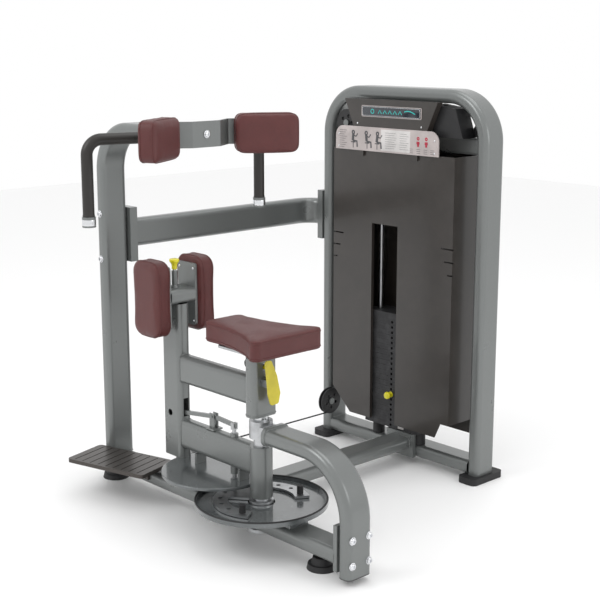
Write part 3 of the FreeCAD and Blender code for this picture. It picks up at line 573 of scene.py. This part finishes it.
# grips: foam sleeves over the bars and round their elbows, on chromed ends
grips = {"x": -421, "y": 364, "z": 1337, "rootX": -335, "rootY": 51.5, "start": 70, "elbow": 50, "low": 1090,
         "endLow": 1055.6, "radius": 0.0192}


def gripPath(sign):
    root = Vector((grips["rootX"], sign * grips["rootY"], grips["z"]))
    corner = Vector((grips["x"], sign * grips["y"], grips["z"]))
    along = (corner - root).normalized()
    elbow = grips["elbow"]
    start, enter = root + along * grips["start"], corner - along * elbow
    points = [start.lerp(enter, i / 12) for i in range(12)]
    for i in range(17):
        angle = math.pi / 2 * i / 16
        points.append(enter - zAxis * elbow + (along * math.sin(angle) + zAxis * math.cos(angle)) * elbow)
    foot = Vector((corner.x, corner.y, grips["low"]))
    points += [points[-1].lerp(foot, i / 12) for i in range(1, 13)]
    return [at(*point) for point in points]


made = []
for sign in (-1, 1):
    sleeve = addCordLine("gripSleeve", gripPath(sign), grips["radius"], False, 7)
    made.append(sleeve)
    made.append(turned("gripLip", [(15.4, 0), (19.6, 0), (20, 1.5), (20, 5), (19.4, 6.4), (15.4, 6.6)],
                       at(grips["x"], sign * grips["y"], grips["low"]), zAxis, 48))
finished(joinPieces("gripSleeves", made), "base", "rubber", looks["grip_foam"], "handle_grips")
gripEndProfile = [(0, 0), (15, 0), (20.5, 1.2), (22.2, 4), (22.8, 9), (22.8, 24), (21.8, 29), (19.6, 32.6),
                  (18, 33.8)]
made = [turned("gripEnd", gripEndProfile, at(grips["x"], sign * grips["y"], grips["endLow"]), zAxis, 48)
        for sign in (-1, 1)]
finished(joinPieces("gripEnds", made), "base", "chrome", looks["chrome"])


# knobs
knobs = {"stemX": -454, "knobLow": 867, "guideLow": 804, "pinX": -276, "pinZ": 266.25, "knobY": 894, "shankY": 891}
knobProfile = [(0, 37), (14, 36.8), (16.4, 35.8), (17.5, 33.8), (17.5, 28.4), (16.6, 26.4), (11.2, 19), (10, 15),
               (9.6, 8), (9.6, 1), (9, 0), (6.1, 0)]
finished(turned("releaseKnob", knobProfile, at(knobs["stemX"], 0, knobs["knobLow"]), zAxis), "release_button",
         "knob_yellow", looks["knob_yellow"], "release_knob")
boot = [(10.9, 0), (15.5, 0), (15.2, 2), (13, 4.5), (11.6, 7), (10.9, 8)]
finished(turned("guideWeld", boot, at(knobs["stemX"], 0, knobs["guideLow"]), zAxis, 40), "swing_frame", "frame_paint",
         looks["frame_paint"])

grip = [(0, 1.5), (8, 0.8), (12.4, -0.6), (14.2, -4), (14.6, -9), (13.6, -13), (11, -17), (9.2, -21), (9.4, -26),
        (11.6, -29.4), (10.6, -31.5), (0, -31.5)]
pinKnob = turned("pinKnob", [(r, 2 - z * 0.92) for r, z in grip],
                 at(knobs["pinX"], knobs["knobY"], knobs["pinZ"]), yAxis, 48)
finished(pinKnob, "weight_pin", "knob_yellow", looks["knob_yellow"], "selector_pin")
pinShank = turned("pinShank", [(0, 90), (3.5, 89.4), (5, 86), (5, 26), (0, 26)],
                  at(knobs["pinX"], knobs["shankY"], knobs["pinZ"]), yAxis, 32)
finished(pinShank, "weight_pin", "bright_steel", looks["bright_steel"])
print("knobs, grips and fasteners turned")


# weld beads where tubes meet
welds = {"bead": 0.0021, "wide": 0.1052, "thin": 0.0522, "corner": 0.02}


def weldLoop(centre, u, v, width, height):
    points = loopPoints(centre, u, v, width, height, welds["corner"], 8)
    full = []
    for i, point in enumerate(points):
        following = points[(i + 1) % len(points)]
        count = max(1, round((following - point).length / 0.003))
        full += [point.lerp(following, step / count) for step in range(count)]
    wobble = [p + (p - centre).normalized() * 0.00035 * math.sin(i * 1.9) for i, p in enumerate(full)]
    return addCordLine("weld", wobble, welds["bead"], True)


wide, thin = welds["wide"], welds["thin"]
made = [
    weldLoop(at(-401.5, 0, 282.5), yAxis, zAxis, thin, wide),
    weldLoop(at(-401.5, 0, 520), yAxis, zAxis, thin, 0.1022),
    weldLoop(at(-26, 0, 520), yAxis, zAxis, thin, 0.1022),
    weldLoop(at(0, 0, 448), yAxis, xAxis, wide, thin),
]
finished(joinPieces("swingWelds", made), "swing_frame", "frame_paint", looks["frame_paint"])
made = [
    weldLoop(at(-826, 0, 108), yAxis, xAxis, wide, thin),
    weldLoop(at(-826, 84.5, 945), zAxis, xAxis, wide, thin),
    weldLoop(at(-729, 1003, 945), zAxis, yAxis, wide, thin),
    weldLoop(at(-233, 53, 82), zAxis, xAxis, thin, wide),
    weldLoop(at(-233, 933.5, 82), zAxis, xAxis, thin, wide),
    weldLoop(at(77, 0, 389), yAxis, zAxis, wide, thin),
    weldLoop(at(396, 0, 82), yAxis, zAxis, wide, thin),
    weldLoop(at(-649, 1003, 51), yAxis, zAxis, wide, thin),
    weldLoop(at(96, 1003, 51), yAxis, zAxis, wide, thin),
]
finished(joinPieces("frameWelds", made), "base", "frame_paint", looks["frame_paint"])

# rim trim of the tray
rim = {"radius": 221, "height": 152, "bead": 0.0034, "steps": 160}
turns = [math.tau * i / rim["steps"] for i in range(rim["steps"])]
ring = [at(rim["radius"] * math.cos(turn), rim["radius"] * math.sin(turn), rim["height"]) for turn in turns]
finished(addCordLine("trayRim", ring, rim["bead"], True), "base", "rubber", looks["rubber"])


# signs: abstract marks only
signs = {"badgeX": -275, "badgeZ": 1378.5, "badgeFront": 896.4, "sheetFront": 894.8}
ink = moulded("signInk", (0.07, 0.07, 0.075), 0.4, 900, 0.04, 0.0, 0.0)
redInk = moulded("signRed", (0.42, 0.02, 0.05), 0.4, 900, 0.04, 0.0, 0.0)
paleInk = moulded("signPale", (0.6, 0.58, 0.57), 0.35, 900, 0.04, 0.2, 0.0)
screenLook = moulded("screenGlass", (0.006, 0.012, 0.022), 0.12, 900, 0.02, 0.8, 0.0)
# painted glow: the badge marks emit teal light, though the badge is no lamp
glow = Look("paintedGlowMark", (0.02, 0.32, 0.3), 0.3, 0.0, Emission_Strength=0.25)
glow.set(**{"Emission Color": (0.03, 0.6, 0.55, 1)})


def stroke(points, radius, layer):
    # printed line: a bead pressed flat against the sheet
    bead = addCordLine("stroke", [Vector((x, 0, z)) / 1000 for x, z in points], radius / 1000)
    bead.data.transform(Matrix.Diagonal((1, 0.18, 1, 1)))
    bead.data.transform(Matrix.Translation(at(0, layer, 0)))
    return bead


def ringStroke(x, z, r, radius, layer, steps=20):
    return stroke([(x + r * math.cos(math.tau * i / steps), z + r * math.sin(math.tau * i / steps))
                   for i in range(steps + 1)], radius, layer)


panel = addBlock("badgeScreen", at(-425, 896.6, 1359.5), at(-125, 898.4, 1397.5), 0.0012)
finished(panel, "base", "shroud_plastic", screenLook)
badgeLoop = loopPoints(at(signs["badgeX"], signs["badgeFront"], signs["badgeZ"]), xAxis, zAxis, 0.294, 0.033, 0.006)
frameLine = addCordLine("badgeLine", badgeLoop, 0.0007, True)
finished(frameLine, "base", "chrome", looks["chrome"])
made = []
for i in range(5):
    x = -340 + 26 * i
    made.append(stroke([(x, 1371), (x + 9, 1384), (x + 18, 1371)], 1.7, signs["badgeFront"]))
wave = [(x, 1379 + 7 * math.sin((x + 215) / 18)) for x in range(-205, -150, 3)]
made.append(stroke(wave, 2.0, signs["badgeFront"]))
made.append(ringStroke(-370, signs["badgeZ"], 8, 1.6, signs["badgeFront"]))
finished(joinPieces("badgeMarks", made), "base", "sign_print", glow.material)

sheetLines = []
for column, (x0, x1) in enumerate(((-545, -505), (-300, -240), (-225, -180))):
    for row in range(8 if column else 9):
        z = 1300 - 8.2 * row
        short = (7 * (row % 3) + 5 * column) % 17
        sheetLines.append(stroke([(x0, z), (x1 - short, z)], 0.8, signs["sheetFront"]))
for x in (-165, -130, -95, -62):
    for row in range(3):
        sheetLines.append(stroke([(x - 9, 1248 - 7 * row), (x + 9, 1248 - 7 * row)], 0.8, signs["sheetFront"]))


def seatedFigure(x, z, lean):
    # a plain figure on a stool, drawn in strokes
    return [
        ringStroke(x, z + 62, 6, 3.2, signs["sheetFront"]),
        stroke([(x, z + 55), (x - lean, z + 30)], 6.5, signs["sheetFront"]),
        stroke([(x - lean, z + 30), (x - lean + 22, z + 28), (x - lean + 24, z + 6)], 4.0, signs["sheetFront"]),
        stroke([(x, z + 52), (x + 15, z + 46), (x + 24, z + 58)], 2.6, signs["sheetFront"]),
        stroke([(x - lean - 10, z + 24), (x - lean + 14, z + 24)], 2.0, signs["sheetFront"]),
        stroke([(x - lean + 2, z + 24), (x - lean + 2, z + 2)], 2.0, signs["sheetFront"]),
    ]


for x, lean in ((-470, 2), (-400, -3), (-340, 4)):
    sheetLines += seatedFigure(x, 1232, lean)
finished(joinPieces("placardPrint", sheetLines), "base", "sign_print", ink)
reds = []
for x in (-132, -92):
    reds.append(ringStroke(x, 1288, 4.5, 2.6, signs["sheetFront"]))
    reds.append(stroke([(x - 7, 1272), (x + 7, 1272)], 5.5, signs["sheetFront"]))
    reds.append(stroke([(x, 1272), (x, 1258)], 5.0, signs["sheetFront"]))
finished(joinPieces("placardRed", reds), "base", "sign_print", redInk)
card = addBlock("placardCard", at(-322, 894.7, 1232), at(-172, 895.3, 1312), 0.0002)
finished(card, "base", "sign_print", paleInk)
print("signs drawn")


# weight labels and stem fitting
made = []
for i in range(21):
    z = 130 + 21 * i + 10.2
    label = addBlock("plateLabel", at(-236, 924.2, z - 5.5), at(-206, 925.2, z + 5.5), 0.0003)
    made.append((i, label))
resting = [label for i, label in made if i < 6]
lifted = [label for i, label in made if i >= 6]
finished(joinPieces("restingLabels", resting), "base", "sign_print", paleInk)
finished(joinPieces("liftedLabels", lifted), "lifted_stack", "sign_print", paleInk)
fitting = [(11, 0), (11.4, 2), (11.4, 10), (8, 13), (6.4, 15), (6.4, 30), (4.6, 33), (3.3, 40), (3.05, 40)]
finished(turned("stemFitting", fitting, at(-276, 975, 634), zAxis, 40), "lifted_stack", "bright_steel",
         looks["bright_steel"])
print("stack dressed")


# ---- floor, light and camera

stage = {
    "floorHalf": 9.0,
    "floorTone": (0.94, 0.94, 0.94),
    "sky": (1.0, 1.0, 1.0),
    "skyStrength": 1.0,
    "camera": (3.1609, -2.90765, 1.6629),
    "azimuth": 47.16,
    "tilt": 12.09,
    "lens": 74.15,
}
clearPick()
bpy.ops.mesh.primitive_plane_add(size=2 * stage["floorHalf"], location=(0, 0, 0))
floor = bpy.context.object
floor.name = "studioFloor"
settle(floor)
floorLook = Look("studioFloorTone", stage["floorTone"], 0.6)
floorLook.set(**{"Roughness": 0.5 + floorLook.noise(3, 3) * 0.2})
floor.data.materials.append(floorLook.material)

world = bpy.data.worlds.new("studio")
scene.world = world
world.use_nodes = True
world.node_tree.nodes["Background"].inputs[0].default_value = (*stage["sky"], 1)
world.node_tree.nodes["Background"].inputs[1].default_value = stage["skyStrength"]


def softLight(name, place, target, size, power):
    lamp = bpy.data.lights.new(name, "AREA")
    lamp.shape, lamp.size, lamp.energy = "SQUARE", size, power
    holder = bpy.data.objects.new(name, lamp)
    scene.collection.objects.link(holder)
    holder.location = place
    holder.rotation_euler = (Vector(target) - Vector(place)).to_track_quat("-Z", "Y").to_euler()
    return holder


softLight("keyLight", (-0.8, -3.2, 3.4), (0, 0, 0.8), 1.8, 42)
softLight("topLight", (0.4, 0.6, 4.2), (0, 0, 0.5), 2.4, 30)
softLight("sideLight", (3.6, 0.8, 2.0), (0, 0, 0.8), 1.6, 16)

scene.view_settings.view_transform = "Standard"
view = bpy.data.cameras.new("studioCamera")
view.lens, view.sensor_width = stage["lens"], 36
camera = bpy.data.objects.new("studioCamera", view)
scene.collection.objects.link(camera)
camera.location = stage["camera"]
camera.rotation_euler = (math.radians(90 - stage["tilt"]), 0, math.radians(stage["azimuth"]))
scene.camera = camera
